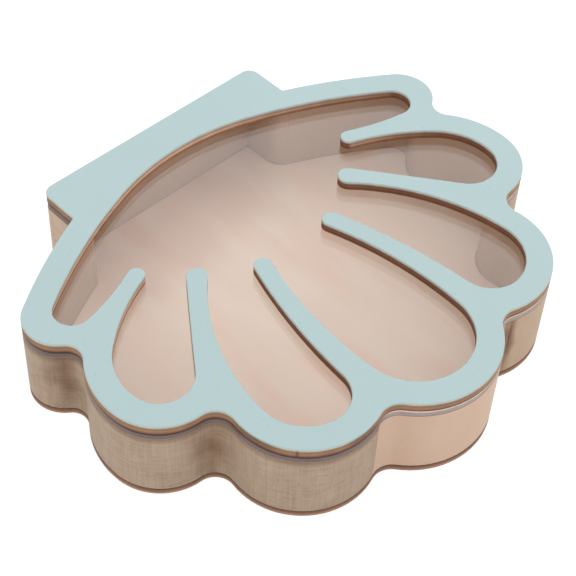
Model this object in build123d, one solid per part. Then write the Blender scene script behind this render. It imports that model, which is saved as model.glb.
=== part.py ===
"""Scallop-shell display case: a shallow tray with a lift-off, glazed lid.

The case lies on its back panel.  +Z points up through the window, +Y points from the fan's tip to
the straight hinge edge of the shell, and X = 0 is the plane of symmetry.  The origin is under the
middle of the bounding box, on the face that the case rests on.

Every outline is one chain of tangent arcs.  The shell is drawn once, with the straight edge on
y = 0 and the fan below it, and each layer is that shell moved inwards by its own inset.
"""
from build123d import *
from math import atan2, cos, hypot, pi, radians, sin, sqrt
import os

# ---- layers, from the bottom up ------------------------------------------------------------
back_thickness = 3.4        # plywood back panel
wall_height = 32.0          # solid wood ring that makes the sides
pane_thickness = 3.3        # clear acrylic sheet under the front frame
frame_thickness = 4.5       # painted plywood front frame
wall_thickness = 8.0        # the ring, measured across
pane_setback = 0.2          # the pane's edge stands this far inside the frame's
frame_edge_break = 0.25     # sanded corner round the top face of the frame

# ---- straight hinge edge of the shell ------------------------------------------------------
base_width = 119.4
base_corner_radius = 5.2
notch_radius = 0.6          # inner corner between the base and the shoulder

# ---- fan: lobes are numbered from the tip (1) round to the shoulder (4) ---------------------
tip_centre_y = -157.2       # lobe 1, on the plane of symmetry
tip_radius = 35.7
lobe2_centre = (48.9, -146.4)
lobe2_radius = 31.8
lobe3_centre = (72.8, -105.8)
lobe3_upper_radius = 39.0
lobe3_lower_radius = 24.6
lobe3_blend_angle = -5.4    # where the upper arc of lobe 3 runs into the lower one
lobe4_centre = (96.6, -58.8)
lobe4_radius = 15.0
shoulder_angle = 55.3       # where lobe 4 runs into the shoulder
shoulder_radius = 261.0
valley12_radius = 9.0       # concave arcs between the lobes
valley23_radius = 8.3
valley34_radius = 7.3

# ---- window in the front frame ---------------------------------------------------------------
border_width = 11.0         # from the outline to the window, round the lobes and shoulders
crown_width = 18.0          # from the straight edge to the top of the window
bay2_corner_radius = 14.4   # tighter arc of bay 2, beside its inner rib
bay2_corner_angle = -80.0
bay4_radius = 8.0
bay4_setback = 4.1          # the end of bay 4 stands back from the centre of lobe 4

# ---- ribs, numbered like the valleys that they grow from ------------------------------------
rib12_tip = (19.4, -92.5)
rib23_tip = (43.1, -79.1)
rib34_tip = (60.6, -62.3)
rib12_tip_radius = 3.9
rib23_tip_radius = 4.4
rib34_tip_radius = 3.6
rib12_inner_bow = 168.0     # radius of each flank: the bay bulges, or, where negative, the rib does
rib12_outer_bow = -250.0
rib23_inner_bow = 97.5
rib23_outer_bow = -3000.0
rib34_inner_bow = 96.0
rib34_outer_bow = 108.0

# ---- magnets that hold the lid ---------------------------------------------------------------
magnet_radius = 2.5
case_magnet_height = 3.0
lid_magnet_height = 2.0
magnet_clearance = 0.1      # round a magnet in its pocket
magnet_recess = 0.2         # from a magnet to the mouth of its pocket
base_magnet_x = 46.0
lobe2_magnet_angle = -48.0
lobe4_magnet_angle = 8.0

# ---- worked out ------------------------------------------------------------------------------
CONVEX, CONCAVE = -1, 1     # how an arc turns, walking from the base down to the tip
wall_top = back_thickness + wall_height
frame_bottom = wall_top + pane_thickness
base_half = base_width / 2
shell_depth = tip_radius - tip_centre_y


def polar(centre, radius, angle):
    """Point at a radius and an angle in degrees from a centre."""
    return centre[0] + radius * cos(radians(angle)), centre[1] + radius * sin(radians(angle))


def towards(start, target, distance):
    """Point at a distance from start, in the direction of target."""
    length = hypot(target[0] - start[0], target[1] - start[1])
    return tuple(a + (b - a) * distance / length for a, b in zip(start, target))


def meeting_point(centre_a, distance_a, centre_b, distance_b, side):
    """Point at given distances from two centres; side +1 is left of the way from a to b."""
    dx, dy = centre_b[0] - centre_a[0], centre_b[1] - centre_a[1]
    apart = hypot(dx, dy)
    along = (distance_a ** 2 - distance_b ** 2 + apart ** 2) / (2 * apart)
    across = side * sqrt(distance_a ** 2 - along ** 2)
    return (centre_a[0] + (along * dx - across * dy) / apart,
            centre_a[1] + (along * dy + across * dx) / apart)


def tangent_point(arc, following):
    """Point where an arc (centre, radius, turn) runs smoothly into the following one."""
    (centre, radius, turn), (next_centre, next_radius, next_turn) = arc, following
    outwards = 1 if turn != next_turn or radius > next_radius else -1
    return towards(centre, next_centre, outwards * radius)


def arc_edge(arc, start, end):
    """Edge of one arc of a chain, turning the arc's own way from start to end."""
    centre, radius, turn = arc
    first = atan2(start[1] - centre[1], start[0] - centre[0])
    sweep = (turn * (atan2(end[1] - centre[1], end[0] - centre[0]) - first)) % (2 * pi)
    middle = first + turn * sweep / 2
    return ThreePointArc(start, (centre[0] + radius * cos(middle), centre[1] + radius * sin(middle)), end)


def chain_edges(arcs, start, end):
    """Edges of a chain of tangent arcs, from a start point to an end point."""
    joints = [start] + [tangent_point(a, b) for a, b in zip(arcs, arcs[1:])] + [end]
    return [arc_edge(arc, a, b) for arc, a, b in zip(arcs, joints, joints[1:])]


def both_sides(edges):
    """The edges together with their mirror images across the plane of symmetry."""
    return edges + [mirror(edge, about=Plane.YZ) for edge in edges]


# The fan's arc centres are the same for every inset.
tip_centre = (0, tip_centre_y)
lobe3_lower_centre = polar(lobe3_centre, lobe3_upper_radius - lobe3_lower_radius, lobe3_blend_angle)
shoulder_centre = polar(lobe4_centre, lobe4_radius - shoulder_radius, shoulder_angle)
valley34_centre = meeting_point(lobe4_centre, lobe4_radius + valley34_radius,
                                lobe3_centre, lobe3_upper_radius + valley34_radius, 1)
valley23_centre = meeting_point(lobe3_lower_centre, lobe3_lower_radius + valley23_radius,
                                lobe2_centre, lobe2_radius + valley23_radius, 1)
valley12_centre = meeting_point(lobe2_centre, lobe2_radius + valley12_radius,
                                tip_centre, tip_radius + valley12_radius, 1)
notch_centre = (base_half + notch_radius, shoulder_centre[1] + sqrt(
    (shoulder_radius + notch_radius) ** 2 - (base_half + notch_radius - shoulder_centre[0]) ** 2))


def base_edges(inset):
    """Right half of the straight base at an inset, down to where the notch runs into the shoulder."""
    side_x, top_y, corner = base_half - inset, -inset, base_corner_radius - inset
    notch = (notch_centre, notch_radius + inset, CONCAVE)
    notch_start = (side_x, notch_centre[1])
    notch_end = tangent_point(notch, (shoulder_centre, shoulder_radius - inset, CONVEX))
    if corner > 0:
        corner_arc = ((side_x - corner, top_y - corner), corner, CONVEX)
        turn = [arc_edge(corner_arc, (side_x - corner, top_y), (side_x, top_y - corner))]
    else:
        corner, turn = 0, []
    return [Line((0, top_y), (side_x - corner, top_y)), *turn,
            Line((side_x, top_y - corner), notch_start), arc_edge(notch, notch_start, notch_end)]


def fan_arcs(inset):
    """Arcs of the right half of the fan at an inset, from the notch to the plane of symmetry."""
    return [(notch_centre, notch_radius + inset, CONCAVE),
            (shoulder_centre, shoulder_radius - inset, CONVEX),
            (lobe4_centre, lobe4_radius - inset, CONVEX),
            (valley34_centre, valley34_radius + inset, CONCAVE),
            (lobe3_centre, lobe3_upper_radius - inset, CONVEX),
            (lobe3_lower_centre, lobe3_lower_radius - inset, CONVEX),
            (valley23_centre, valley23_radius + inset, CONCAVE),
            (lobe2_centre, lobe2_radius - inset, CONVEX),
            (valley12_centre, valley12_radius + inset, CONCAVE),
            (tip_centre, tip_radius - inset, CONVEX)]


def side_edges(inset):
    """Right half of the fan at an inset, from the shoulder down to the end of lobe 2."""
    arcs = fan_arcs(inset)
    return chain_edges(arcs[1:-2], tangent_point(arcs[0], arcs[1]), tangent_point(arcs[-3], arcs[-2]))


def tip_edges(inset):
    """Right half of the fan's tip at an inset: the first valley and half of lobe 1."""
    arcs = fan_arcs(inset)
    return chain_edges(arcs[-2:], tangent_point(arcs[-3], arcs[-2]), (0, tip_centre_y - tip_radius + inset))


def shell_face(inset):
    """The whole shell as a flat face, moved inwards by an inset."""
    return make_face(both_sides(base_edges(inset) + side_edges(inset) + tip_edges(inset)))


def flank(bay_centre, bay_radius, rib_tip, rib_tip_radius, bow, side):
    """Arc that joins the round end of a bay to the round tip of a rib, tangent to both."""
    if bow > 0:
        return meeting_point(bay_centre, bow - bay_radius, rib_tip, bow + rib_tip_radius, side), bow, CONVEX
    return meeting_point(bay_centre, bay_radius - bow, rib_tip, -bow - rib_tip_radius, -side), -bow, CONCAVE


def window_face():
    """The opening of the front frame, as a flat face with the six ribs left standing."""
    arch_radius = shoulder_radius - border_width
    crown_y = -crown_width - shoulder_centre[1]
    crown_radius = (arch_radius ** 2 - shoulder_centre[0] ** 2 - crown_y ** 2) / (2 * (arch_radius - crown_y))
    setback = bay4_setback / arch_radius * 180 / pi
    bay4_centre = polar(shoulder_centre, arch_radius - bay4_radius, shoulder_angle + setback)
    bay3_upper, bay3_lower = lobe3_upper_radius - border_width, lobe3_lower_radius - border_width
    bay2, bay1 = lobe2_radius - border_width, tip_radius - border_width
    bay2_corner = polar(lobe2_centre, bay2 - bay2_corner_radius, bay2_corner_angle)
    arcs = [((0, -crown_width - crown_radius), crown_radius, CONVEX),
            (shoulder_centre, arch_radius, CONVEX),
            (bay4_centre, bay4_radius, CONVEX),
            flank(bay4_centre, bay4_radius, rib34_tip, rib34_tip_radius, rib34_outer_bow, -1),
            (rib34_tip, rib34_tip_radius, CONCAVE),
            flank(lobe3_centre, bay3_upper, rib34_tip, rib34_tip_radius, rib34_inner_bow, 1),
            (lobe3_centre, bay3_upper, CONVEX),
            (lobe3_lower_centre, bay3_lower, CONVEX),
            flank(lobe3_lower_centre, bay3_lower, rib23_tip, rib23_tip_radius, rib23_outer_bow, -1),
            (rib23_tip, rib23_tip_radius, CONCAVE),
            flank(lobe2_centre, bay2, rib23_tip, rib23_tip_radius, rib23_inner_bow, 1),
            (lobe2_centre, bay2, CONVEX),
            (bay2_corner, bay2_corner_radius, CONVEX),
            flank(bay2_corner, bay2_corner_radius, rib12_tip, rib12_tip_radius, rib12_outer_bow, -1),
            (rib12_tip, rib12_tip_radius, CONCAVE),
            flank(tip_centre, bay1, rib12_tip, rib12_tip_radius, rib12_inner_bow, 1),
            (tip_centre, bay1, CONVEX)]
    return make_face(both_sides(chain_edges(arcs, (0, -crown_width), (0, tip_centre_y - bay1))))


def slab(face, bottom, height):
    """A flat face as a sheet of the given height, at its place in the finished case."""
    return Pos(0, shell_depth / 2, bottom) * extrude(face, height)


def seam(outer, inner, end):
    """Straight butt joint between two outlines of the ring: end 0 is where they begin, 1 where they end."""
    return Line(outer[-end] @ end, inner[-end] @ end)


def base_wall():
    """Piece of the ring round the straight base, from notch to notch."""
    outer, inner = base_edges(0), base_edges(wall_thickness)
    return slab(make_face(both_sides(outer + inner + [seam(outer, inner, 1)])), back_thickness, wall_height)


def side_wall():
    """Right-hand piece of the ring, from the shoulder round three lobes."""
    outer, inner = side_edges(0), side_edges(wall_thickness)
    joints = [seam(outer, inner, 0), seam(outer, inner, 1)]
    return slab(make_face(outer + inner + joints), back_thickness, wall_height)


def tip_wall():
    """Piece of the ring round the lobe at the tip, with a valley at either end."""
    outer, inner = tip_edges(0), tip_edges(wall_thickness)
    return slab(make_face(both_sides(outer + inner + [seam(outer, inner, 0)])), back_thickness, wall_height)


def magnet_places():
    """Centres of the magnets on the middle line of the ring, in mirrored pairs."""
    middle = wall_thickness / 2
    right = [(base_magnet_x, -middle),
             polar(lobe4_centre, lobe4_radius - middle, lobe4_magnet_angle),
             polar(lobe2_centre, lobe2_radius - middle, lobe2_magnet_angle)]
    return [(side * x, y) for x, y in right for side in (1, -1)]


def discs(radius, bottom, height):
    """One disc at each magnet's place, as separate solids."""
    return [slab(Pos(x, y) * Circle(radius), bottom, height) for x, y in magnet_places()]


def front_frame():
    """Painted frame with its window and ribs, and blind pockets for magnets in the underside."""
    sheet = slab(shell_face(0) - window_face(), frame_bottom, frame_thickness)
    sheet = chamfer(sheet.edges().group_by(Axis.Z)[-1], frame_edge_break)
    return sheet - discs(magnet_radius + magnet_clearance, frame_bottom, lid_magnet_height + magnet_recess)


def with_case_pockets(wall):
    """A piece of the ring with a blind pocket in its top for each case magnet over it."""
    depth = case_magnet_height + magnet_recess
    return wall - discs(magnet_radius + magnet_clearance, wall_top - depth, depth)


wall_right = with_case_pockets(side_wall())
nodes = {
    "back_panel": slab(shell_face(0), 0, back_thickness),
    "wall_base": with_case_pockets(base_wall()),
    "wall_left": mirror(wall_right, about=Plane.YZ),
    "wall_right": wall_right,
    "wall_tip": with_case_pockets(tip_wall()),
    "case_magnets": Compound(discs(magnet_radius, wall_top - magnet_recess - case_magnet_height,
                                   case_magnet_height)),
    "window_pane": slab(shell_face(pane_setback), wall_top, pane_thickness),
    "front_frame": front_frame(),
    "lid_magnets": Compound(discs(magnet_radius, frame_bottom + magnet_recess, lid_magnet_height)),
}

os.makedirs("parts", exist_ok=True)
for name, shape in nodes.items():
    export_step(shape, f"parts/{name}.step")
    print(name, len(shape.solids()), "solid(s)", round(shape.volume / 1000, 2), "cm3")
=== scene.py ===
"""Looks of a scallop-shell display case: a wooden tray under a lift-off, glazed and painted lid.

Lengths are in metres, except where a name ends in _mm.
"""

import logging
from collections.abc import Callable, Iterable
from dataclasses import dataclass
from enum import Enum
from math import radians
from typing import Any

import bmesh
import bpy
from bmesh.types import BMesh, BMFace
from bpy.types import Material, Mesh, Node, NodeSocket, NodeTree, Object
from mathutils import Matrix, Vector

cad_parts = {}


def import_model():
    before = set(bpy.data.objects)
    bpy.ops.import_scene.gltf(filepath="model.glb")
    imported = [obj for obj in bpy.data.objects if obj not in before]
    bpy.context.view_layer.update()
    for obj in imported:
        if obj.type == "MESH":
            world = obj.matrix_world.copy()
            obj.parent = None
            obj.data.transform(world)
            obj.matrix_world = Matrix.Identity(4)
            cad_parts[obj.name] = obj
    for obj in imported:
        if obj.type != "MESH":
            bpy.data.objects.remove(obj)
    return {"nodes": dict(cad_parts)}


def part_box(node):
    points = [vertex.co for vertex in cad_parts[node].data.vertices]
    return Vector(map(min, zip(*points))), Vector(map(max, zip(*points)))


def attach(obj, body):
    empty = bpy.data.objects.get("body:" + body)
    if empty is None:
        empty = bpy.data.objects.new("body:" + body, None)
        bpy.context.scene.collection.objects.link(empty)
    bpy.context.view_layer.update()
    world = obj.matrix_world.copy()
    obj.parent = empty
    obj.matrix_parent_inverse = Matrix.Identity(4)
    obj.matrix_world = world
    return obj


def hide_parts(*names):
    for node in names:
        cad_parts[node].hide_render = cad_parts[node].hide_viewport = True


log = logging.getLogger("shell_case")

Triple = tuple[float, float, float]     # a place, a way or a size, along x, y and z
Span = tuple[float, float]              # where something starts and where it ends
Stops = tuple[tuple[float, str], ...]   # places from 0 to 1, each with its sRGB colour

MM = 1000.0                 # millimetres in a metre
WELD = 1e-6                 # corners of the CAD triangles that are this near are one corner
JOINT_STEPS = 1e5           # in a metre: edges of two strips are matched to one such step
FLAT_BEND = radians(0.2)    # triangles that meet at less than this make one flat face
SHARP_BEND = radians(20)    # faces that meet at more than this are shaded apart
PATCH_BEND = radians(30)    # faces that meet at less than this run smoothly into each other
BREAK_BEND = radians(40)    # edges where faces meet at more than this are sanded
LEVEL_RISE = 0.9            # a patch whose normal rises by more than this lies flat
RIM_RISE = 0.3              # a steeper one that rises by more than this is a broken top edge
BEYOND = 3.0                # reaches of a mark: further off than its edge ever wavers


class Body(Enum):
    """The two bodies that the parts ride on."""

    CASE = "case"
    LID = "lid"


class Slot(Enum):
    """The record's material slots."""

    FRAME = "painted_plywood"
    BACK = "plain_plywood"
    WALL = "solid_wood"
    PANE = "clear_acrylic"
    MAGNET = "nickel_plate"


class Side(Enum):
    """Which way a patch of faces on a flat-lying sheet or strip looks."""

    TOP = "top"
    BOTTOM = "bottom"
    RIM = "rim"
    OUTER = "outer"
    INNER = "inner"


# ---- colour, nodes and meshes ----

def linear(colour: str) -> tuple[float, float, float, float]:
    """Turn an sRGB hex colour into linear RGBA.

    Args:
        colour: six hex digits after a hash, such as "#bcd2d3".

    Returns:
        The linear red, green and blue, and an alpha of 1.
    """
    shares = [int(colour[i:i + 2], 16) / 255 for i in (1, 3, 5)]
    return (*(s / 12.92 if s <= 0.04045 else ((s + 0.055) / 1.055) ** 2.4 for s in shares), 1.0)


def add_node(tree: NodeTree, kind: str, sockets: dict[str | int, Any] | None = None,
             stops: Stops = (), **settings: Any) -> Node:
    """Add a node with its settings and links.

    A Mix node takes its share at input 0 and its colours at 6 and 7, and gives a colour at output
    2.  A Map Range node takes its value at 0, the span that it comes from at 1 and 2, and the
    span that it goes to at 3 and 4, which is 0 to 1 where they aren't given.

    Args:
        tree: the node tree that gets it.
        kind: the node's type.
        sockets: for an input's name or index, its value, or the node or output that feeds it.
        stops: for a colour ramp, its places and colours.
        settings: the node's own properties.

    Returns:
        The new node.
    """
    node = tree.nodes.new(kind)
    for name, value in settings.items():
        setattr(node, name, value)
    for key, value in (sockets or {}).items():
        if isinstance(value, Node):
            value = value.outputs[0]
        if isinstance(value, NodeSocket):
            tree.links.new(value, node.inputs[key])
        else:
            node.inputs[key].default_value = value
    if stops:
        elements = node.color_ramp.elements
        elements.remove(elements[1])
        elements[0].position, elements[0].color = stops[0][0], linear(stops[0][1])
        for position, colour in stops[1:]:
            elements.new(position).color = linear(colour)
    return node


def blank_material(name: str) -> tuple[Material, NodeTree]:
    """Make a material whose tree is empty.

    Args:
        name: the finish's name.

    Returns:
        The material and its node tree.
    """
    material = bpy.data.materials.new(name)
    material.use_nodes = True
    material.node_tree.nodes.clear()
    return material, material.node_tree


def close_material(tree: NodeTree, height: Node, relief: float, depth_mm: float,
                   sockets: dict[str, Any]) -> None:
    """End a material's tree: one shader, whose surface stands up where a pattern is high.

    Args:
        tree: the material's node tree.
        height: the pattern that stands up.
        relief: how strongly it shows, from 0 to 1.
        depth_mm: how far it stands up.
        sockets: values and feeds of the shader's other inputs.
    """
    bump = add_node(tree, "ShaderNodeBump", {
        "Height": height, "Strength": relief, "Distance": depth_mm / MM})
    shader = add_node(tree, "ShaderNodeBsdfPrincipled", {**sockets, "Normal": bump})
    add_node(tree, "ShaderNodeOutputMaterial", {0: shader})


def place_mm(tree: NodeTree) -> Node:
    """Add the surface point in the row frame, in millimetres."""
    point = add_node(tree, "ShaderNodeTexCoord").outputs["Object"]
    return add_node(tree, "ShaderNodeVectorMath", {0: point, "Scale": MM}, operation="SCALE")


def pattern(tree: NodeTree, place: Node, grain_mm: Triple, detail: float = 2.0,
            roughness: float = 0.5, offset: float = 0.0) -> Node:
    """Add a noise with its own grain size on each axis.

    Args:
        tree: the material's node tree.
        place: the surface point in millimetres.
        grain_mm: the size of its features along x, y and z.
        detail: how many finer layers it has.
        roughness: how strong the finer layers are.
        offset: shifts it, so that two patterns of one size differ.

    Returns:
        The noise node, whose first output is about 0.5 on average.
    """
    stretched = add_node(tree, "ShaderNodeMapping", {
        "Vector": place, "Location": (offset, offset, offset),
        "Scale": tuple(1 / size for size in grain_mm)})
    return add_node(tree, "ShaderNodeTexNoise", {
        "Vector": stretched, "Scale": 1.0, "Detail": detail, "Roughness": roughness})


def weighted(tree: NodeTree, parts: list[tuple[Any, float]], base: float) -> Any:
    """Add up patterns, each as its difference from 0.5 times a weight, on a base value.

    Args:
        tree: the material's node tree.
        parts: each pattern with its weight.
        base: what the sum is where every pattern is 0.5.

    Returns:
        The node whose output is the sum.
    """
    total: Any = base - sum(weight for _, weight in parts) / 2
    for source, weight in parts:
        total = add_node(tree, "ShaderNodeMath", {0: source, 1: weight, 2: total},
                         operation="MULTIPLY_ADD")
    return total


def nearest_mark(tree: NodeTree, place: Node, middles: tuple[Triple, ...],
                 reach_mm: Triple) -> Any:
    """Add how far a point is from the nearest of some marks.

    Args:
        tree: the material's node tree.
        place: the surface point in millimetres.
        middles: the marks' middles, in millimetres.
        reach_mm: how far a mark reaches along x, y and z.

    Returns:
        The node whose output is 0 in the middle of a mark and 1 where its reach ends.
    """
    nearest: Any = BEYOND
    for middle in middles:
        shares = add_node(tree, "ShaderNodeMapping", {
            "Vector": place, "Location": middle, "Scale": reach_mm}, vector_type="TEXTURE")
        length = add_node(tree, "ShaderNodeVectorMath", {0: shares}, operation="LENGTH")
        nearest = add_node(tree, "ShaderNodeMath", {0: nearest, 1: length.outputs["Value"]},
                           operation="MINIMUM")
    return nearest


def place_piece(piece: Object, body: Body, replaced: tuple[str, ...]) -> None:
    """Put a finished piece on its body, and hide the CAD nodes that it stands for.

    Args:
        piece: the finished object.
        body: the body that it rides on.
        replaced: CAD nodes that it replaces, or none.
    """
    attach(piece, body.value)
    if replaced:
        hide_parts(*replaced)
    log.info("%s: %d faces on %s", piece.name, len(piece.data.polygons), body.value)


def linked_object(name: str, data: Any) -> Object:
    """Make an object, and link it to the scene.

    Args:
        name: the object's name.
        data: its mesh, lamp or camera.

    Returns:
        The new object.
    """
    thing = bpy.data.objects.new(name, data)
    bpy.context.scene.collection.objects.link(thing)
    return thing


def clusters(items: Iterable[Any], beside: Callable[[Any], set[Any]]) -> list[list[Any]]:
    """Group the items that hang together.

    Args:
        items: the faces or corners of a mesh.
        beside: gives the neighbours that an item hangs together with.

    Returns:
        One list for each group, in the order of their first items.
    """
    groups, seen = [], set()
    for start in items:
        if start in seen:
            continue
        seen.add(start)
        group, waiting = [], [start]
        while waiting:
            item = waiting.pop()
            group.append(item)
            fresh = beside(item) - seen
            seen |= fresh
            waiting.extend(fresh)
        groups.append(group)
    return groups


def welded(node: Object) -> BMesh:
    """Copy a CAD node's loose triangles into one closed mesh with whole flat faces.

    Args:
        node: the CAD node's object.

    Returns:
        A new bmesh, which the caller frees.
    """
    shell = bmesh.new()
    shell.from_mesh(node.data)
    bmesh.ops.remove_doubles(shell, verts=shell.verts, dist=WELD)
    bmesh.ops.dissolve_limit(shell, angle_limit=FLAT_BEND, verts=shell.verts, edges=shell.edges)
    return shell


def smooth_patches(shell: BMesh) -> list[list[BMFace]]:
    """Group the faces that run smoothly into each other.

    Args:
        shell: a closed mesh.

    Returns:
        One list of faces for each patch.
    """
    return clusters(shell.faces, lambda face: {
        other for edge in face.edges for other in edge.link_faces
        if other is not face and face.normal.angle(other.normal) < PATCH_BEND})


def side_of(patch: list[BMFace]) -> Side:
    """Tell which way a patch of a flat-lying sheet or strip looks.

    Args:
        patch: faces that run smoothly into each other.

    Returns:
        Its side.
    """
    area = sum(face.calc_area() for face in patch)
    rise = sum(face.calc_area() * face.normal.z for face in patch) / area
    if abs(rise) > LEVEL_RISE:
        return Side.TOP if rise > 0 else Side.BOTTOM
    if rise > RIM_RISE:
        return Side.RIM
    outward = sum(face.calc_area() * face.normal.xy.dot(face.calc_center_median().xy)
                  for face in patch)
    return Side.OUTER if outward > 0 else Side.INNER


def softened(node: Object, name: str, width_mm: float, finishes: dict[Side, Material]) -> Object:
    """Copy a CAD node with its sharp edges lightly broken, and dress each of its sides.

    Args:
        node: the CAD node's object.
        name: the new piece's name.
        width_mm: how far a broken edge reaches onto each face, or 0 to leave the edges.
        finishes: the material of each side.

    Returns:
        The new object.
    """
    shell = welded(node)
    slots = list(dict.fromkeys(finishes.values()))
    for patch in smooth_patches(shell):
        index = slots.index(finishes[side_of(patch)])
        for face in patch:
            face.material_index = index
    mesh = bpy.data.meshes.new(name)
    shell.to_mesh(mesh)
    shell.free()
    for layer in ("custom_normal", "sharp_face", "sharp_edge"):
        if layer in mesh.attributes:
            mesh.attributes.remove(mesh.attributes[layer])
    for material in slots:
        mesh.materials.append(material)
    piece = linked_object(name, mesh)
    if width_mm:
        bevel = piece.modifiers.new("broken edges", "BEVEL")
        bevel.width = width_mm / MM
        bevel.segments = 2
        bevel.limit_method = "ANGLE"
        bevel.angle_limit = BREAK_BEND
        keep_evaluated(piece)
    shade(piece.data)
    return piece


def shade(mesh: Mesh) -> None:
    """Shade a mesh smooth, except where its faces meet sharply."""
    mesh.shade_smooth()
    mesh.set_sharp_from_angle(angle=SHARP_BEND)


def keep_evaluated(piece: Object) -> None:
    """Turn a piece into the plain mesh that its modifiers make, and remove them.

    Args:
        piece: the object, which keeps its name.
    """
    source = piece.data
    evaluated = piece.evaluated_get(bpy.context.evaluated_depsgraph_get())
    baked = bpy.data.meshes.new_from_object(evaluated)
    piece.modifiers.clear()
    piece.data = baked
    bpy.data.meshes.remove(source)
    baked.name = piece.name


# ---- shapes from geometry nodes ----

def size_tree(name: str, sizes: tuple[str, ...]) -> tuple[NodeTree, Node]:
    """Start a geometry tree that takes a mesh and some sizes in metres.

    Args:
        name: the tree's name.
        sizes: the names of its number inputs.

    Returns:
        The tree, and the node that gives its inputs.
    """
    tree = bpy.data.node_groups.new(name, "GeometryNodeTree")
    tree.interface.new_socket("Geometry", in_out="INPUT", socket_type="NodeSocketGeometry")
    for size in sizes:
        tree.interface.new_socket(size, in_out="INPUT", socket_type="NodeSocketFloat")
    tree.interface.new_socket("Geometry", in_out="OUTPUT", socket_type="NodeSocketGeometry")
    return tree, add_node(tree, "NodeGroupInput")


def close_tree(tree: NodeTree, shape: Node, material: Material) -> None:
    """End a geometry tree: its copies are made real, and take their material.

    Args:
        tree: the geometry tree.
        shape: the node that gives the finished shape.
        material: what it is dressed in.
    """
    real = add_node(tree, "GeometryNodeRealizeInstances", {0: shape})
    dressed = add_node(tree, "GeometryNodeSetMaterial", {"Geometry": real, "Material": material})
    add_node(tree, "NodeGroupOutput", {0: dressed})


def shaped(name: str, start: Mesh, tree: NodeTree, sizes: dict[str, float]) -> Object:
    """Run a geometry tree on a mesh, and keep the result as a plain mesh.

    Args:
        name: the piece's name.
        start: the points or the line that the tree works on.
        tree: the geometry tree.
        sizes: a value for each of its number inputs.

    Returns:
        The finished object.
    """
    piece = linked_object(name, start)
    shaper = piece.modifiers.new("shape", "NODES")
    shaper.node_group = tree
    for socket in tree.interface.items_tree:
        if socket.in_out == "INPUT" and socket.name in sizes:
            shaper[socket.identifier] = sizes[socket.name]
    keep_evaluated(piece)
    shade(piece.data)
    return piece


def solid_middles(node: Object) -> list[Vector]:
    """Find the middle of the box round each separate solid of a CAD node.

    Args:
        node: the CAD node's object.

    Returns:
        The middles, one for each solid.
    """
    shell = welded(node)
    solids = clusters(shell.verts, lambda corner: {
        edge.other_vert(corner) for edge in corner.link_edges})
    middles = []
    for solid in solids:
        low, high = (Vector([pick(corner.co[axis] for corner in solid) for axis in range(3)])
                     for pick in (min, max))
        middles.append((low + high) / 2)
    shell.free()
    return middles


def corner_line(strips: list[Object], level: float) -> Mesh:
    """Trace the closed line where the inside of the ring meets the back panel.

    Args:
        strips: the ring's CAD nodes.
        level: the height of the line.

    Returns:
        A mesh of the line's corners and edges.
    """
    ends: dict[tuple[int, ...], list[tuple[Vector, Vector]]] = {}
    inside = set()
    for strip in strips:
        shell = welded(strip)
        for patch in smooth_patches(shell):
            looks = side_of(patch)
            for face in patch if looks in (Side.INNER, Side.OUTER) else ():
                for edge in face.edges:
                    first, second = (corner.co.copy() for corner in edge.verts)
                    if max(abs(first.z - level), abs(second.z - level)) > WELD:
                        continue
                    key = tuple(round(value * JOINT_STEPS) for value in (first + second) / 2)
                    ends.setdefault(key, []).append((first, second))
                    if looks is Side.INNER:
                        inside.add(key)
        shell.free()
    # A joint between two strips gives the same edge twice, and is left out.
    line = bmesh.new()
    for key in inside:
        if len(ends[key]) == 1:
            line.edges.new([line.verts.new(corner) for corner in ends[key][0]])
    bmesh.ops.remove_doubles(line, verts=line.verts, dist=1 / JOINT_STEPS)
    mesh = bpy.data.meshes.new("corner line")
    line.to_mesh(mesh)
    line.free()
    return mesh


# ---- finishes ----
#
# Pores, fibres, saw marks, ridges and tumbling marks are a tenth or two of a millimetre wide on
# the real surfaces, which is too fine to show, so they are drawn two to five times as coarse.

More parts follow.
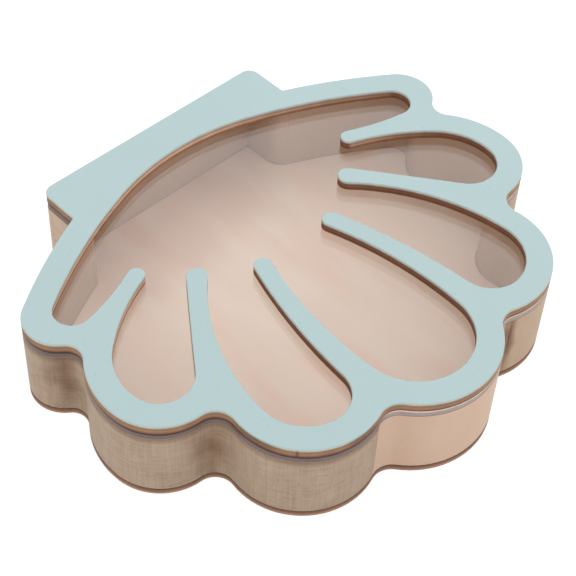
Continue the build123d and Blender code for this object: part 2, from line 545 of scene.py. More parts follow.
@dataclass(frozen=True)
class StripWood:
    """Basswood strip: upright pores crossed by faint saw marks, with painted shade in its valleys
    and under the lid's rim.

    Its valley shades are the middles of places of painted shade in the valleys between lobes, in
    the row frame in millimetres.  Painted shade under the lid's rim darkens the wood between the
    heights of its rim shade span, most at the second one.
    """

    name: str
    light: str
    dark: str
    fleck: str
    pore_mm: Triple = (0.55, 0.55, 14.3)
    saw_mm: Triple = (7.2, 7.2, 0.6)
    patch_mm: Triple = (11.0, 11.0, 15.4)
    fleck_mm: Triple = (0.7, 0.7, 1.1)
    fleck_span: Span = (0.66, 0.80)
    pore_share: float = 0.5
    saw_share: float = 0.3
    patch_share: float = 0.5
    fleck_share: float = 0.75
    roughness: float = 0.62
    relief: float = 0.35
    depth_mm: float = 0.08
    gloss: float = 0.5
    # Painted shade under the lid's rim:
    rim_shade_mm: Span = (0.0, 0.0)
    rim_shade_tint: str = "#cdc0b4"
    # Painted shade in the valleys between lobes:
    valley_shades: tuple[Triple, ...] = ()
    valley_shade_reach_mm: Triple = (9.0, 9.0, 17.0)
    valley_shade_waver: float = 1.1
    valley_shade_end: float = 1.15
    valley_shade_tint: str = "#a08670"

    def valley_shade_share(self, tree: NodeTree, place: Node, ragged: Node) -> Node:
        """Add how strongly a point is darkened by painted shade in a valley, from 0 to 1.

        Args:
            tree: the material's node tree.
            place: the surface point in millimetres.
            ragged: a pattern that makes the edge of a patch of painted shade uneven.

        Returns:
            The node whose output is the share.
        """
        nearest = nearest_mark(tree, place, self.valley_shades, self.valley_shade_reach_mm)
        uneven = weighted(tree, [(nearest, 1.0), (ragged, self.valley_shade_waver)], 0.5)
        return add_node(tree, "ShaderNodeMapRange", {0: uneven, 1: self.valley_shade_end, 2: 0.0},
                        interpolation_type="SMOOTHSTEP")

    def material(self) -> Material:
        """Build the finish.

        Returns:
            The material.
        """
        surface, tree = blank_material(self.name)
        place = place_mm(tree)
        pores = pattern(tree, place, self.pore_mm, detail=3.0, roughness=0.6)
        marks = pattern(tree, place, self.saw_mm, roughness=0.6)
        patches = pattern(tree, place, self.patch_mm)
        tone = weighted(tree, [(pores, self.pore_share), (marks, self.saw_share),
                               (patches, self.patch_share)], 0.5)
        colour = add_node(tree, "ShaderNodeMix", {
            0: tone, 6: linear(self.dark), 7: linear(self.light)}, data_type="RGBA").outputs[2]
        # Painted shade: in the valleys between lobes, and under the lid's rim.
        painted_shades = []
        if self.valley_shades:
            painted_shades.append((self.valley_shade_share(tree, place, patches), self.valley_shade_tint))
        if self.rim_shade_mm[1]:
            level = add_node(tree, "ShaderNodeSeparateXYZ", {0: place}).outputs["Z"]
            painted_shades.append((add_node(tree, "ShaderNodeMapRange", {
                0: level, 1: self.rim_shade_mm[0], 2: self.rim_shade_mm[1]}), self.rim_shade_tint))
        for share, tint in painted_shades:
            colour = add_node(tree, "ShaderNodeMix", {0: share, 6: colour, 7: linear(tint)},
                              data_type="RGBA", blend_type="MULTIPLY").outputs[2]
        flecks = pattern(tree, place, self.fleck_mm, detail=1.0, offset=31.0)
        flecked = add_node(tree, "ShaderNodeMapRange", {
            0: flecks, 1: self.fleck_span[0], 2: self.fleck_span[1], 4: self.fleck_share})
        colour = add_node(tree, "ShaderNodeMix", {0: flecked, 6: colour, 7: linear(self.fleck)},
                          data_type="RGBA").outputs[2]
        height = weighted(tree, [(pores, 1.0), (marks, 0.5)], 0.5)
        close_material(tree, height, self.relief, self.depth_mm, {
            "Base Color": colour, "IOR": 1.45, "Specular IOR Level": self.gloss,
            "Roughness": weighted(tree, [(pores, 0.12), (patches, 0.08)], self.roughness)})
        return surface


@dataclass(frozen=True)
class CutEdge:
    """Laser-cut edge of plywood: its plies show as lines, browned by smoke and by painted shade.

    stops is its colour from the bottom of the sheet (0) to its top (1), where the face's paint
    creeps over it.  The smoke and shade side is the way that the darkest sides look: smoke settled
    there, and painted shade darkens them as they face away from the lamps.
    nicks and burns are the middles of notches and of stretches that the beam dwelt on, in the row
    frame in millimetres, and nicked and burnt are how bright the edge is there.
    """

    name: str
    bottom_mm: float
    top_mm: float
    stops: Stops
    waver_mm: Triple = (6.0, 6.0, 6.0)
    waver_share: float = 0.06
    fibre_mm: Triple = (2.2, 2.2, 0.3)
    fibre_share: float = 0.55
    soot_mm: Triple = (9.0, 9.0, 14.0)
    soot_share: float = 0.6
    # Laser smoke, and painted shade on the sides that face away from the lamps:
    smoke_and_shade_side: Triple = (0.0, 0.0, 0.0)
    smoke_and_shade_facing: Span = (0.1, 0.8)
    smoke_and_shade_limits: tuple[Span, Span] = ((0.80, 0.60), (0.04, 0.20))
    smoke_and_shade_tint: str = ""
    mark_core: float = 0.3
    nicks: tuple[Triple, ...] = ()
    nick_reach_mm: Triple = (0.9, 0.9, 3.0)
    nicked: float = 0.5
    burns: tuple[Triple, ...] = ()
    burn_reach_mm: Triple = (13.0, 13.0, 20.0)
    burnt: float = 0.62

    def smoke_and_shade_share(self, tree: NodeTree, level: Node) -> Node:
        """Add how much a point is darkened by smoke and by painted shade, from 0 to 1.  None lies
        near the faces.

        Args:
            tree: the material's node tree.
            level: how far up the sheet the point is, from 0 to 1.

        Returns:
            The node whose output is the share.
        """
        facing = add_node(tree, "ShaderNodeVectorMath", {
            0: add_node(tree, "ShaderNodeNewGeometry").outputs["Normal"],
            1: self.smoke_and_shade_side}, operation="DOT_PRODUCT").outputs["Value"]
        smoke_and_shade = add_node(tree, "ShaderNodeMapRange", {
            0: facing, 1: self.smoke_and_shade_facing[0], 2: self.smoke_and_shade_facing[1]},
            interpolation_type="SMOOTHSTEP")
        for start, end in self.smoke_and_shade_limits:
            limit = add_node(tree, "ShaderNodeMapRange", {0: level, 1: start, 2: end})
            smoke_and_shade = add_node(tree, "ShaderNodeMath", {0: smoke_and_shade, 1: limit}, operation="MULTIPLY")
        return smoke_and_shade

    def material(self) -> Material:
        """Build the finish.

        Returns:
            The material.
        """
        surface, tree = blank_material(self.name)
        place = place_mm(tree)
        height = add_node(tree, "ShaderNodeSeparateXYZ", {0: place}).outputs["Z"]
        level = add_node(tree, "ShaderNodeMapRange", {0: height, 1: self.bottom_mm, 2: self.top_mm})
        waver = pattern(tree, place, self.waver_mm, offset=3.0)
        level = weighted(tree, [(level, 1.0), (waver, self.waver_share)], 0.5)
        plies = add_node(tree, "ShaderNodeValToRGB", {0: level}, self.stops)
        fibres = pattern(tree, place, self.fibre_mm, detail=3.0, roughness=0.65)
        soot = pattern(tree, place, self.soot_mm, detail=3.0, roughness=0.6, offset=11.0)
        bright = weighted(tree, [(fibres, self.fibre_share), (soot, self.soot_share)], 1.0)
        for marks, reach_mm, darkest, blend in (
                (self.burns, self.burn_reach_mm, self.burnt, "SMOOTHSTEP"),
                (self.nicks, self.nick_reach_mm, self.nicked, "LINEAR")):
            if marks:
                spared = add_node(tree, "ShaderNodeMapRange", {
                    0: nearest_mark(tree, place, marks, reach_mm), 1: self.mark_core, 2: 1.0,
                    3: darkest}, interpolation_type=blend)
                bright = add_node(tree, "ShaderNodeMath", {0: bright, 1: spared},
                                      operation="MULTIPLY")
        colour = add_node(tree, "ShaderNodeVectorMath", {0: plies, "Scale": bright},
                          operation="SCALE")
        # Laser smoke, and painted shade on the sides that face away from the lamps.
        if self.smoke_and_shade_tint:
            colour = add_node(tree, "ShaderNodeMix", {
                0: self.smoke_and_shade_share(tree, level), 6: colour, 7: linear(self.smoke_and_shade_tint)},
                data_type="RGBA", blend_type="MULTIPLY").outputs[2]
        close_material(tree, fibres, relief=0.35, depth_mm=0.08, sockets={
            "Base Color": colour, "Roughness": 0.75, "IOR": 1.45})
        return surface


@dataclass(frozen=True)
class FaceVeneer:
    """Rotary-cut face veneer of plywood: pale, with veins along y and broad soft bands.

    Its far wall shades are the middles of places of painted shade on the floor in front of the
    base strip, in the row frame in millimetres.
    """

    name: str
    light: str
    dark: str
    flame: str = "#e8bda7"
    vein_mm: Triple = (1.1, 33.0, 4.0)
    band_mm: Triple = (12.0, 60.0, 30.0)
    flame_mm: Triple = (16.0, 60.0, 40.0)
    vein_share: float = 0.22
    band_share: float = 0.8
    flame_share: float = 0.45
    flame_span: Span = (0.50, 0.72)
    # Painted shade on the floor in front of the base strip:
    far_wall_shades: tuple[Triple, ...] = ()
    far_wall_shade_reach_mm: Triple = (34.0, 30.0, 20.0)
    far_wall_shade_core: float = 0.35
    far_wall_shade_tint: str = "#f5eceb"

    def material(self) -> Material:
        """Build the finish.

        Returns:
            The material.
        """
        surface, tree = blank_material(self.name)
        place = place_mm(tree)
        veins = pattern(tree, place, self.vein_mm, detail=3.0, roughness=0.6)
        bands = pattern(tree, place, self.band_mm, offset=7.0)
        tone = weighted(tree, [(veins, self.vein_share), (bands, self.band_share)], 0.5)
        colour = add_node(tree, "ShaderNodeMix", {
            0: tone, 6: linear(self.dark), 7: linear(self.light)}, data_type="RGBA").outputs[2]
        flames = pattern(tree, place, self.flame_mm, detail=3.0, roughness=0.45, offset=41.0)
        flamed = add_node(tree, "ShaderNodeMapRange", {
            0: flames, 1: self.flame_span[0], 2: self.flame_span[1], 4: self.flame_share},
            interpolation_type="SMOOTHSTEP")
        colour = add_node(tree, "ShaderNodeMix", {0: flamed, 6: colour, 7: linear(self.flame)},
                          data_type="RGBA").outputs[2]
        # Painted shade on the floor in front of the base strip.
        if self.far_wall_shades:
            apart = nearest_mark(tree, place, self.far_wall_shades, self.far_wall_shade_reach_mm)
            uneven = weighted(tree, [(apart, 1.0), (bands, 0.5)], 0.5)
            far_wall_shading = add_node(tree, "ShaderNodeMapRange", {
                0: uneven, 1: 1.0, 2: self.far_wall_shade_core}, interpolation_type="SMOOTHSTEP")
            colour = add_node(tree, "ShaderNodeMix", {
                0: far_wall_shading, 6: colour, 7: linear(self.far_wall_shade_tint)},
                data_type="RGBA", blend_type="MULTIPLY").outputs[2]
        close_material(tree, veins, relief=0.03, depth_mm=0.05, sockets={
            "Base Color": colour, "Roughness": 0.6, "IOR": 1.45, "Specular IOR Level": 0.2})
        return surface


@dataclass(frozen=True)
class SprayedPaint:
    """Satin acrylic paint, sprayed on sanded plywood: even, with a fine peel and a hint of grain.

    Specks of dust are where their pattern passes speck_span.
    """

    name: str
    colour: str
    speck: str
    cloud_mm: Triple = (38.0, 55.0, 40.0)
    peel_mm: Triple = (0.9, 0.9, 0.9)
    grain_mm: Triple = (0.8, 16.0, 5.0)
    speck_mm: Triple = (1.6, 1.6, 1.6)
    speck_span: Span = (0.80, 0.86)
    speck_share: float = 0.5

    def material(self) -> Material:
        """Build the finish.

        Returns:
            The material.
        """
        surface, tree = blank_material(self.name)
        place = place_mm(tree)
        cloud = pattern(tree, place, self.cloud_mm, offset=5.0)
        peel = pattern(tree, place, self.peel_mm, offset=9.0)
        grain = pattern(tree, place, self.grain_mm, offset=2.0)
        tone = weighted(tree, [(cloud, 0.06), (peel, 0.02), (grain, 0.03)], 1.0)
        coat = add_node(tree, "ShaderNodeVectorMath", {0: linear(self.colour)[:3], "Scale": tone},
                        operation="SCALE")
        dust = pattern(tree, place, self.speck_mm, detail=0.0, offset=17.0)
        dusty = add_node(tree, "ShaderNodeMapRange", {
            0: dust, 1: self.speck_span[0], 2: self.speck_span[1], 4: self.speck_share})
        colour = add_node(tree, "ShaderNodeMix", {0: dusty, 6: coat, 7: linear(self.speck)},
                          data_type="RGBA").outputs[2]
        height = weighted(tree, [(peel, 0.6), (grain, 0.5)], 0.5)
        close_material(tree, height, relief=0.2, depth_mm=0.05, sockets={
            "Base Color": colour, "IOR": 1.48, "Specular IOR Level": 0.25,
            "Roughness": weighted(tree, [(peel, 0.08), (cloud, 0.06)], 0.47)})
        return surface


@dataclass(frozen=True)
class ClearAcrylic:
    """Cast acrylic sheet with its polished faces: clear, and mirrors a little of the room."""

    name: str
    tint: str

    def material(self) -> Material:
        """Build the finish.  Light for the things under it passes straight through.

        Returns:
            The material.
        """
        surface, tree = blank_material(self.name)
        sheet = add_node(tree, "ShaderNodeBsdfPrincipled", {
            "Base Color": linear(self.tint), "Roughness": 0.0, "IOR": 1.49,
            "Transmission Weight": 1.0})
        rays = add_node(tree, "ShaderNodeLightPath")
        lit = add_node(tree, "ShaderNodeMath", {
            0: rays.outputs["Is Shadow Ray"], 1: rays.outputs["Is Diffuse Ray"]},
            operation="MAXIMUM")
        passing = add_node(tree, "ShaderNodeBsdfTransparent", {"Color": linear(self.tint)})
        mixed = add_node(tree, "ShaderNodeMixShader", {0: lit, 1: sheet, 2: passing})
        add_node(tree, "ShaderNodeOutputMaterial", {0: mixed})
        return surface


@dataclass(frozen=True)
class AcrylicEdge:
    """Laser-cut edge of clear acrylic: satin grey, finely ridged, with a painted reflection of the
    frame.

    Both sets of stops go from the bottom of the sheet (0) to its top (1).  They are a painted
    shaded copy and a painted lit copy of the edge, for the light that comes through it from the
    strips
    behind: the shaded ones hold over the sawn strips, and the lit ones over the planed strip at the
    tip and past it.  The lit span is where they give way, measured along the lit way.
    """

    name: str
    bottom_mm: float
    top_mm: float
    shaded_stops: Stops
    lit_stops: Stops
    lit_way: Triple = (1.0, -0.5, 0.0)
    lit_span_mm: Span = (-4.0, 10.0)
    waver_mm: Triple = (5.0, 5.0, 9.0)
    waver_share: float = 0.12
    ridge_mm: Triple = (0.5, 0.5, 6.0)
    ridge_share: float = 0.3
    cloud_mm: Triple = (7.0, 7.0, 1.3)
    cloud_share: float = 0.5

    def material(self) -> Material:
        """Build the finish.

        Returns:
            The material.
        """
        surface, tree = blank_material(self.name)
        place = place_mm(tree)
        height = add_node(tree, "ShaderNodeSeparateXYZ", {0: place}).outputs["Z"]
        level = add_node(tree, "ShaderNodeMapRange", {0: height, 1: self.bottom_mm, 2: self.top_mm})
        waver = pattern(tree, place, self.waver_mm, offset=23.0)
        level = weighted(tree, [(level, 1.0), (waver, self.waver_share)], 0.5)
        along = add_node(tree, "ShaderNodeVectorMath", {0: place, 1: self.lit_way},
                         operation="DOT_PRODUCT").outputs["Value"]
        lit = add_node(tree, "ShaderNodeMapRange", {
            0: along, 1: self.lit_span_mm[0], 2: self.lit_span_mm[1]},
            interpolation_type="SMOOTHSTEP")
        # Painted light: a shaded and a lit copy of one clear edge.
        dim, light = (add_node(tree, "ShaderNodeValToRGB", {0: level}, stops)
                      for stops in (self.shaded_stops, self.lit_stops))
        colour = add_node(tree, "ShaderNodeMix", {0: lit, 6: dim, 7: light},
                          data_type="RGBA").outputs[2]
        ridges = pattern(tree, place, self.ridge_mm)
        clouds = pattern(tree, place, self.cloud_mm, detail=3.0, roughness=0.6)
        tone = weighted(tree, [(ridges, self.ridge_share), (clouds, self.cloud_share)], 1.0)
        colour = add_node(tree, "ShaderNodeVectorMath", {0: colour, "Scale": tone},
                          operation="SCALE")
        close_material(tree, ridges, relief=0.3, depth_mm=0.1, sockets={
            "Base Color": colour, "Roughness": 0.4, "IOR": 1.49, "Specular IOR Level": 0.25})
        return surface


@dataclass(frozen=True)
class NickelPlate:
    """Nickel plating on a pressed magnet: bright, with faint tumbling marks."""

    name: str
    colour: str
    mark_mm: Triple = (0.5, 0.5, 0.5)
    mark_share: float = 0.2
    roughness: float = 0.22

    def material(self) -> Material:
        """Build the finish.

        Returns:
            The material.
        """
        surface, tree = blank_material(self.name)
        marks = pattern(tree, place_mm(tree), self.mark_mm, detail=3.0)
        close_material(tree, marks, relief=0.15, depth_mm=0.05, sockets={
            "Base Color": linear(self.colour), "Metallic": 1.0,
            "Roughness": weighted(tree, [(marks, self.mark_share)], self.roughness)})
        return surface


@dataclass(frozen=True)
class DriedGlue:
    """Wood glue that dried in a corner: a thin satin fillet, slightly darker than the wood."""

    name: str
    colour: str
    lump_mm: Triple = (2.5, 2.5, 2.5)
    lump_share: float = 0.25

    def material(self) -> Material:
        """Build the finish.

        Returns:
            The material.
        """
        surface, tree = blank_material(self.name)
        lumps = pattern(tree, place_mm(tree), self.lump_mm)
        tone = weighted(tree, [(lumps, self.lump_share)], 1.0)
        colour = add_node(tree, "ShaderNodeVectorMath", {
            0: linear(self.colour)[:3], "Scale": tone}, operation="SCALE")
        close_material(tree, lumps, relief=0.4, depth_mm=0.2, sockets={
            "Base Color": colour, "Roughness": 0.45, "IOR": 1.47})
        return surface


# ---- the case ----

def levels_mm(node: str) -> Span:
    """Give a CAD node's lowest and highest level in millimetres."""
    low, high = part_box(node)
    return low.z * MM, high.z * MM


@dataclass
class Tray:
    """The open tray: a plywood back panel, and a ring of four glued strips on it."""

    nodes: dict[str, Object]
    back_break_mm: float = 0.2
    strip_break_mm: float = 0.22
    bead_thin: float = 0.00035
    bead_thick: float = 0.0007
    bead_lump: float = 0.012
    bead_lump_span: Span = (0.35, 0.65)
    bead_sides: int = 10
    bead_seed: float = 4.0
    back_stops: Stops = (
        (0.0, "#b08a72"), (0.10, "#bd957b"), (0.36, "#b38a70"), (0.46, "#966f59"),
        (0.66, "#8b6752"), (0.88, "#6f4f3f"), (1.0, "#523a2e"))
    floor_finish: FaceVeneer = FaceVeneer(
        name="basswood plywood face", light="#eeddcb", dark="#e3c7b3",
        # Painted shade on the floor in front of the base strip:
        far_wall_shades=((-42.0, 66.0, 3.4), (-10.0, 66.0, 3.4), (22.0, 74.0, 3.4)))
    side_finish: StripWood = StripWood(
        name="basswood strip, sawn", light="#ceb8a1", dark="#9e836c", fleck="#7d6048",
        pore_mm=(0.7, 0.7, 18.2), saw_mm=(9.0, 9.0, 0.75),
        # Painted shade under the lid's rim, and in two valleys:
        pore_share=0.8, saw_share=0.75, rim_shade_mm=(32.2, 35.2),
        valley_shades=((-83.2, -37.4, 20.0), (-102.5, 28.1, 23.0)),
        valley_shade_reach_mm=(10.0, 10.0, 22.0), valley_shade_tint="#bba58f")
    base_finish: StripWood = StripWood(
        name="basswood strip, base", light="#eed5bc", dark="#b7987f", fleck="#7d6048",
        pore_mm=(0.7, 0.7, 18.2), saw_mm=(9.0, 9.0, 0.75), pore_share=0.6, saw_share=0.5)
    right_finish: StripWood = StripWood(
        name="basswood strip, sanded", light="#d5bda3", dark="#b89b80", fleck="#9c7c60",
        # Painted shade in the valley at the seam with the tip strip:
        pore_share=0.6, saw_share=0.35, valley_shades=((38.3, -79.9, 26.0),),
        valley_shade_reach_mm=(4.5, 4.5, 30.0), valley_shade_tint="#8a6e58")
    tip_finish: StripWood = StripWood(
        name="basswood strip, planed", light="#e4c9b3", dark="#d7b399", fleck="#bb9878",
        pore_share=0.12, saw_share=0.25, patch_share=0.4, fleck_share=0.4, relief=0.15,
        # Painted shade in the valley at the seam with the right strip:
        valley_shades=((36.5, -80.5, 26.0),), valley_shade_reach_mm=(4.5, 4.5, 30.0), valley_shade_tint="#8a6e58")
    inside_finish: StripWood = StripWood(
        name="basswood strip, inside", light="#cdb6a1", dark="#b79c89", fleck="#a58a7c",
        pore_share=0.2, saw_share=0.1, patch_share=0.4, fleck_share=0.2, relief=0.03,
        gloss=0.15)
    glue_finish: DriedGlue = DriedGlue(name="dried wood glue", colour="#b59a8c")

    def build(self) -> None:
        """Build and dress every piece of the tray."""
        low, high = levels_mm("back_panel")
        edge = CutEdge("basswood plywood, laser-cut edge", low, high, self.back_stops).material()
        floor = self.floor_finish.material()
        back = softened(self.nodes["back_panel"], "back_board", self.back_break_mm,
                        {Side.TOP: floor, Side.BOTTOM: floor, Side.OUTER: edge, Side.INNER: edge})
        place_piece(back, Body.CASE, ("back_panel",))
        inside = self.inside_finish.material()
        side = self.side_finish.material()
        outside = {"wall_left": side, "wall_base": self.base_finish.material(),
                   "wall_right": self.right_finish.material(),
                   "wall_tip": self.tip_finish.material()}
        for name, finish in outside.items():
            strip = softened(self.nodes[name], name.replace("wall", "strip"), self.strip_break_mm,
                             {Side.TOP: inside, Side.BOTTOM: inside, Side.OUTER: finish,
                              Side.INNER: inside})
            place_piece(strip, Body.CASE, (name,))
        line = corner_line([self.nodes[name] for name in outside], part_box("wall_base")[0].z)
        place_piece(self.glue_bead(line), Body.CASE, ())

    def glue_bead(self, line: Mesh) -> Object:
        """Lay the bead of squeezed-out glue along the inside corner of the tray.

        Args:
            line: the closed line that it follows.

        Returns:
            The finished bead.
        """
        tree, given = size_tree("bead along a line", ("Thin", "Thick", "Lump Size", "Seed"))
        curve = add_node(tree, "GeometryNodeMeshToCurve", {"Mesh": given.outputs["Geometry"]})
        closeness = add_node(tree, "ShaderNodeMath", {0: 1.0, 1: given.outputs["Lump Size"]},
                             operation="DIVIDE")
        lumps = add_node(tree, "ShaderNodeTexNoise", {
            "W": given.outputs["Seed"], "Scale": closeness, "Detail": 1.0},
            noise_dimensions="4D")
        reach = add_node(tree, "ShaderNodeMapRange", {
            0: lumps, 1: self.bead_lump_span[0], 2: self.bead_lump_span[1],
            3: given.outputs["Thin"], 4: given.outputs["Thick"]})
        section = add_node(tree, "GeometryNodeCurvePrimitiveCircle", {
            "Resolution": self.bead_sides, "Radius": 1.0})
        bead = add_node(tree, "GeometryNodeCurveToMesh", {
            "Curve": curve, "Profile Curve": section, "Scale": reach})
        close_tree(tree, bead, self.glue_finish.material())
        return shaped("glue_bead", line, tree, {
            "Thin": self.bead_thin, "Thick": self.bead_thick, "Lump Size": self.bead_lump,
            "Seed": self.bead_seed})


@dataclass
class Lid:
    """The lid: a painted plywood frame, with an acrylic pane bonded under it."""

    nodes: dict[str, Object]
    pane_break_mm: float = 0.08
    bond_gap: float = 0.00006
    nicks: tuple[Triple, ...] = ((-72.8, -70.7, 40.5),)
    burns: tuple[Triple, ...] = ((-81.2, -55.5, 41.0), (-47.3, -81.0, 41.0))
    outline_stops: Stops = (
        (0.0, "#5a3a2c"), (0.10, "#84604b"), (0.20, "#b08465"), (0.32, "#c89a78"),
        (0.46, "#c89a77"), (0.58, "#b28d6e"), (0.70, "#a68f76"), (0.80, "#bfb29d"),
        (0.88, "#cfcfc1"), (1.0, "#cfdad4"))
    window_stops: Stops = (
        (0.0, "#855e46"), (0.15, "#aa775b"), (0.31, "#d6a98e"), (0.45, "#f2cdaf"),
        (0.60, "#bba18b"), (0.74, "#b0a6a1"), (0.86, "#d7d6ca"), (1.0, "#cbd9d4"))
    # A painted shaded copy of the acrylic edge, with a painted reflection of the frame's dark edge
    # from 0.70 up:
    pane_shaded_stops: Stops = (
        (0.0, "#7d6b65"), (0.30, "#7b6a68"), (0.62, "#786866"), (0.70, "#57403a"),
        (0.80, "#452c24"), (1.0, "#40241a"))
    # A painted lit copy of the acrylic edge, with a painted highlight at 0.82:
    pane_lit_stops: Stops = (
        (0.0, "#b7a49c"), (0.25, "#ad9f9d"), (0.60, "#b3a5a2"), (0.72, "#cdb9ae"),
        (0.82, "#ffe8db"), (1.0, "#f2d6c8"))
    paint_finish: SprayedPaint = SprayedPaint(
        name="satin paint, duck-egg blue", colour="#b8cecf", speck="#9db4b4")
    under_finish: FaceVeneer = FaceVeneer(
        name="basswood plywood underside", light="#e3c7a8", dark="#c9a585")
    pane_finish: ClearAcrylic = ClearAcrylic(name="clear cast acrylic", tint="#ffffff")

    def build(self) -> None:
        """Build and dress every piece of the lid."""
        low, high = levels_mm("front_frame")
        # Both edges: laser smoke, and painted shade on the sides that face away from the lamps.
        outline = CutEdge("painted plywood, outer edge", low, high, self.outline_stops,
                          smoke_and_shade_side=(-0.8, -0.6, 0.0), smoke_and_shade_tint="#d8d3cd",
                          nicks=self.nicks, burns=self.burns).material()
        window = CutEdge("painted plywood, window edge", low, high, self.window_stops,
                         smoke_and_shade_side=(-1.0, 0.0, 0.0), smoke_and_shade_tint="#967c6c").material()
        paint = self.paint_finish.material()
        frame = softened(self.nodes["front_frame"], "painted_frame", 0.0, {
            Side.TOP: paint, Side.BOTTOM: self.under_finish.material(),
            Side.RIM: paint, Side.OUTER: outline, Side.INNER: window})
        place_piece(frame, Body.LID, ("front_frame",))
        clear = self.pane_finish.material()
        low, high = levels_mm("window_pane")
        cut = AcrylicEdge("clear acrylic, laser-cut edge", low, high, self.pane_shaded_stops,
                          self.pane_lit_stops).material()
        pane = softened(self.nodes["window_pane"], "acrylic_pane", self.pane_break_mm, {
            Side.TOP: clear, Side.BOTTOM: clear, Side.OUTER: cut, Side.INNER: cut})
        low_corner, high_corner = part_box("window_pane")
        middle = (low_corner.z + high_corner.z) / 2
        squeeze = 1 - 2 * self.bond_gap / (high_corner.z - low_corner.z)
        for vertex in pane.data.vertices:
            vertex.co.z = middle + (vertex.co.z - middle) * squeeze
        place_piece(pane, Body.LID, ("window_pane",))


@dataclass
class Magnets:
    """Six pairs of round magnets, in pockets in the ring and in the underside of the frame."""

    nodes: dict[str, Object]
    chamfer: float = 0.0003
    corners: int = 48
    finish: NickelPlate = NickelPlate(name="nickel-plated magnet", colour="#c9c5bd")

    def build(self) -> None:
        """Build both sets of magnets."""
        tree = self.disc_tree(self.finish.material())
        for node, name, body in (("case_magnets", "ring_magnets", Body.CASE),
                                 ("lid_magnets", "frame_magnets", Body.LID)):
            middles = solid_middles(self.nodes[node])
            low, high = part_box(node)
            points = bpy.data.meshes.new("magnet middles")
            points.from_pydata(middles, [], [])
            radius = high.x - max(middle.x for middle in middles)
            discs = shaped(name, points, tree, {
                "Radius": radius, "Height": high.z - low.z, "Chamfer": self.chamfer})
            place_piece(discs, body, (node,))

    def disc_tree(self, plate: Material) -> NodeTree:
        """Build the tree that puts a chamfered disc on each point.

        Args:
            plate: the discs' finish.

        Returns:
            The tree.
        """
        tree, given = size_tree("disc on each point", ("Radius", "Height", "Chamfer"))
        radius, height, chamfer = (given.outputs[name] for name in ("Radius", "Height", "Chamfer"))
        body_height = add_node(tree, "ShaderNodeMath", {0: chamfer, 1: -2.0, 2: height},
                               operation="MULTIPLY_ADD")
        body = add_node(tree, "GeometryNodeMeshCylinder", {
            "Vertices": self.corners, "Radius": radius, "Depth": body_height}, fill_type="NGON")
        ends = add_node(tree, "FunctionNodeBooleanMath", {
            0: body.outputs["Top"], 1: body.outputs["Bottom"]}, operation="OR")
        raised = add_node(tree, "GeometryNodeExtrudeMesh", {
            "Mesh": body, "Selection": ends, "Offset Scale": chamfer}, mode="FACES")
        lost = add_node(tree, "ShaderNodeMath", {0: chamfer, 1: radius}, operation="DIVIDE")
        share = add_node(tree, "ShaderNodeMath", {0: 1.0, 1: lost}, operation="SUBTRACT")
        disc = add_node(tree, "GeometryNodeScaleElements", {
            "Geometry": raised, "Selection": raised.outputs["Top"], "Scale": share}, domain="FACE")
        discs = add_node(tree, "GeometryNodeInstanceOnPoints", {
            "Points": given.outputs["Geometry"], "Instance": disc})
        close_tree(tree, discs, plate)
        return tree


# ---- studio ----

@dataclass(frozen=True)
class SoftBox:
    """A square studio lamp that looks at the middle of the case.

    A mirrored one is a panel that only gloss and acrylic show, and it lights nothing else.
    """

    name: str
    place: Triple
    size: float
    power: float
    mirrored: bool = False

    def build(self, target: Vector) -> None:
        """Add the lamp.

        Args:
            target: the point that it looks at.
        """
        lamp = bpy.data.lights.new(self.name, "AREA")
        lamp.shape = "SQUARE"
        lamp.size = self.size
        lamp.energy = self.power
        holder = linked_object(self.name, lamp)
        holder.visible_camera = False
        holder.visible_diffuse = not self.mirrored
        holder.visible_glossy = self.mirrored
        holder.visible_transmission = self.mirrored
        holder.location = self.place
        holder.rotation_euler = (target - Vector(self.place)).to_track_quat("-Z", "Y").to_euler()


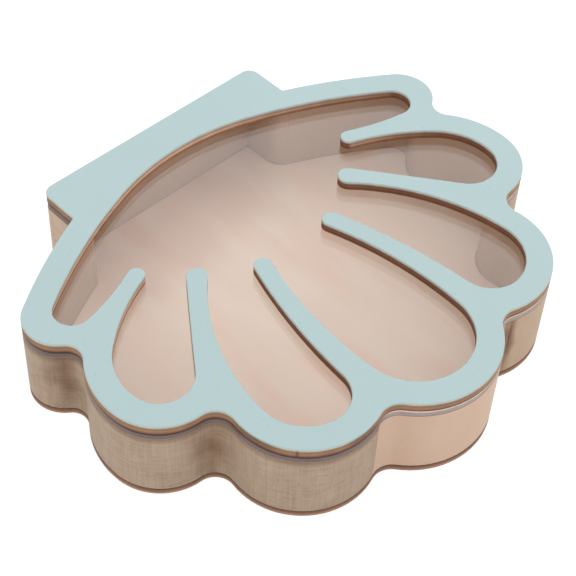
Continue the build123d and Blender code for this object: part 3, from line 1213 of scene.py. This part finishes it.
@dataclass
class Studio:
    """Floor, white surround, soft lamps and the camera."""

    camera_place: Triple = (-0.31491, -0.29186, 0.50077)
    camera_turn: float = -46.4095       # degrees about z from looking along +y
    camera_dip: float = 48.4053         # degrees below level
    camera_roll: float = 3.2390
    focal_mm: float = 96.174
    sensor_mm: float = 36.0
    nearest_seen: float = 0.02
    furthest_seen: float = 20.0
    floor_half: float = 4.0
    floor_drop: float = 0.0002          # keeps the floor clear of the case's underside
    floor_colour: str = "#f0efee"
    floor_shadow: str = "#898989"       # what the shadow takes from the floor as it is seen
    floor_glow: float = 0.90
    surround_colour: str = "#ffffff"
    ambient: float = 0.86
    lamp_target: Triple = (0.0, 0.0, 0.03)
    lamps: tuple[SoftBox, ...] = (
        SoftBox("side", (0.93, 0.28, 0.74), 1.5, 4.8),
        SoftBox("panel", (1.0, 0.93, 1.5), 2.6, 16.0, mirrored=True))

    def build(self) -> None:
        """Build the whole studio."""
        bpy.context.scene.view_settings.view_transform = "Standard"
        self.build_surround()
        self.build_floor()
        for lamp in self.lamps:
            lamp.build(Vector(self.lamp_target))
        self.build_camera()

    def seen_rays(self, tree: NodeTree) -> Node:
        """Add 1 for the rays that show the surround, straight or in gloss or acrylic.

        Args:
            tree: the node tree of the world or the floor.

        Returns:
            The node whose output is 1 for them, and 0 for the rays that only light things.
        """
        rays = add_node(tree, "ShaderNodeLightPath")
        gloss = add_node(tree, "ShaderNodeMath", {
            0: rays.outputs["Is Glossy Ray"], 1: rays.outputs["Is Transmission Ray"]},
            operation="MAXIMUM")
        return add_node(tree, "ShaderNodeMath", {0: rays.outputs["Is Camera Ray"], 1: gloss},
                        operation="MAXIMUM")

    def build_surround(self) -> None:
        """Make the world white to look at, and a gentler light on the object."""
        world = bpy.data.worlds.new("surround")
        bpy.context.scene.world = world
        world.use_nodes = True
        tree = world.node_tree
        tree.nodes.clear()
        seen = self.seen_rays(tree)
        light, white = (add_node(tree, "ShaderNodeBackground", {
            "Color": linear(self.surround_colour), "Strength": strength})
            for strength in (self.ambient, 1.0))
        mixed = add_node(tree, "ShaderNodeMixShader", {0: seen, 1: light, 2: white})
        add_node(tree, "ShaderNodeOutputWorld", {0: mixed})

    def build_floor(self) -> None:
        """Make the floor: pale, and white to look at, with the object's shadow kept."""
        surface, tree = blank_material("white paper sweep")
        paper, dim = (add_node(tree, "ShaderNodeBsdfDiffuse", {"Color": linear(colour)})
                      for colour in (self.floor_colour, self.floor_shadow))
        glow = add_node(tree, "ShaderNodeEmission", {
            "Color": linear(self.surround_colour), "Strength": self.floor_glow})
        lifted = add_node(tree, "ShaderNodeAddShader", {0: dim, 1: glow})
        mixed = add_node(tree, "ShaderNodeMixShader", {
            0: self.seen_rays(tree), 1: paper, 2: lifted})
        add_node(tree, "ShaderNodeOutputMaterial", {0: mixed})
        half = self.floor_half
        mesh = bpy.data.meshes.new("floor")
        mesh.from_pydata([(x, y, -self.floor_drop) for x, y in (
            (-half, -half), (half, -half), (half, half), (-half, half))], [], [(0, 1, 2, 3)])
        mesh.materials.append(surface)
        linked_object("floor", mesh)

    def build_camera(self) -> None:
        """Add the camera, and make it the scene's."""
        lens = bpy.data.cameras.new("camera")
        lens.lens = self.focal_mm
        lens.sensor_width = self.sensor_mm
        lens.sensor_fit = "HORIZONTAL"
        lens.clip_start = self.nearest_seen
        lens.clip_end = self.furthest_seen
        camera = linked_object("camera", lens)
        camera.matrix_world = (
            Matrix.Translation(self.camera_place)
            @ Matrix.Rotation(radians(self.camera_turn), 4, "Z")
            @ Matrix.Rotation(radians(90 - self.camera_dip), 4, "X")
            @ Matrix.Rotation(radians(self.camera_roll), 4, "Z"))
        bpy.context.scene.camera = camera


def main() -> None:
    """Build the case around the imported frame, then its studio."""
    logging.basicConfig(level=logging.INFO, format="%(name)s: %(message)s")
    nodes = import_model()["nodes"]
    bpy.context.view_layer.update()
    for assembly in (Tray(nodes), Lid(nodes), Magnets(nodes), Studio()):
        assembly.build()


if __name__ == "__main__":
    main()
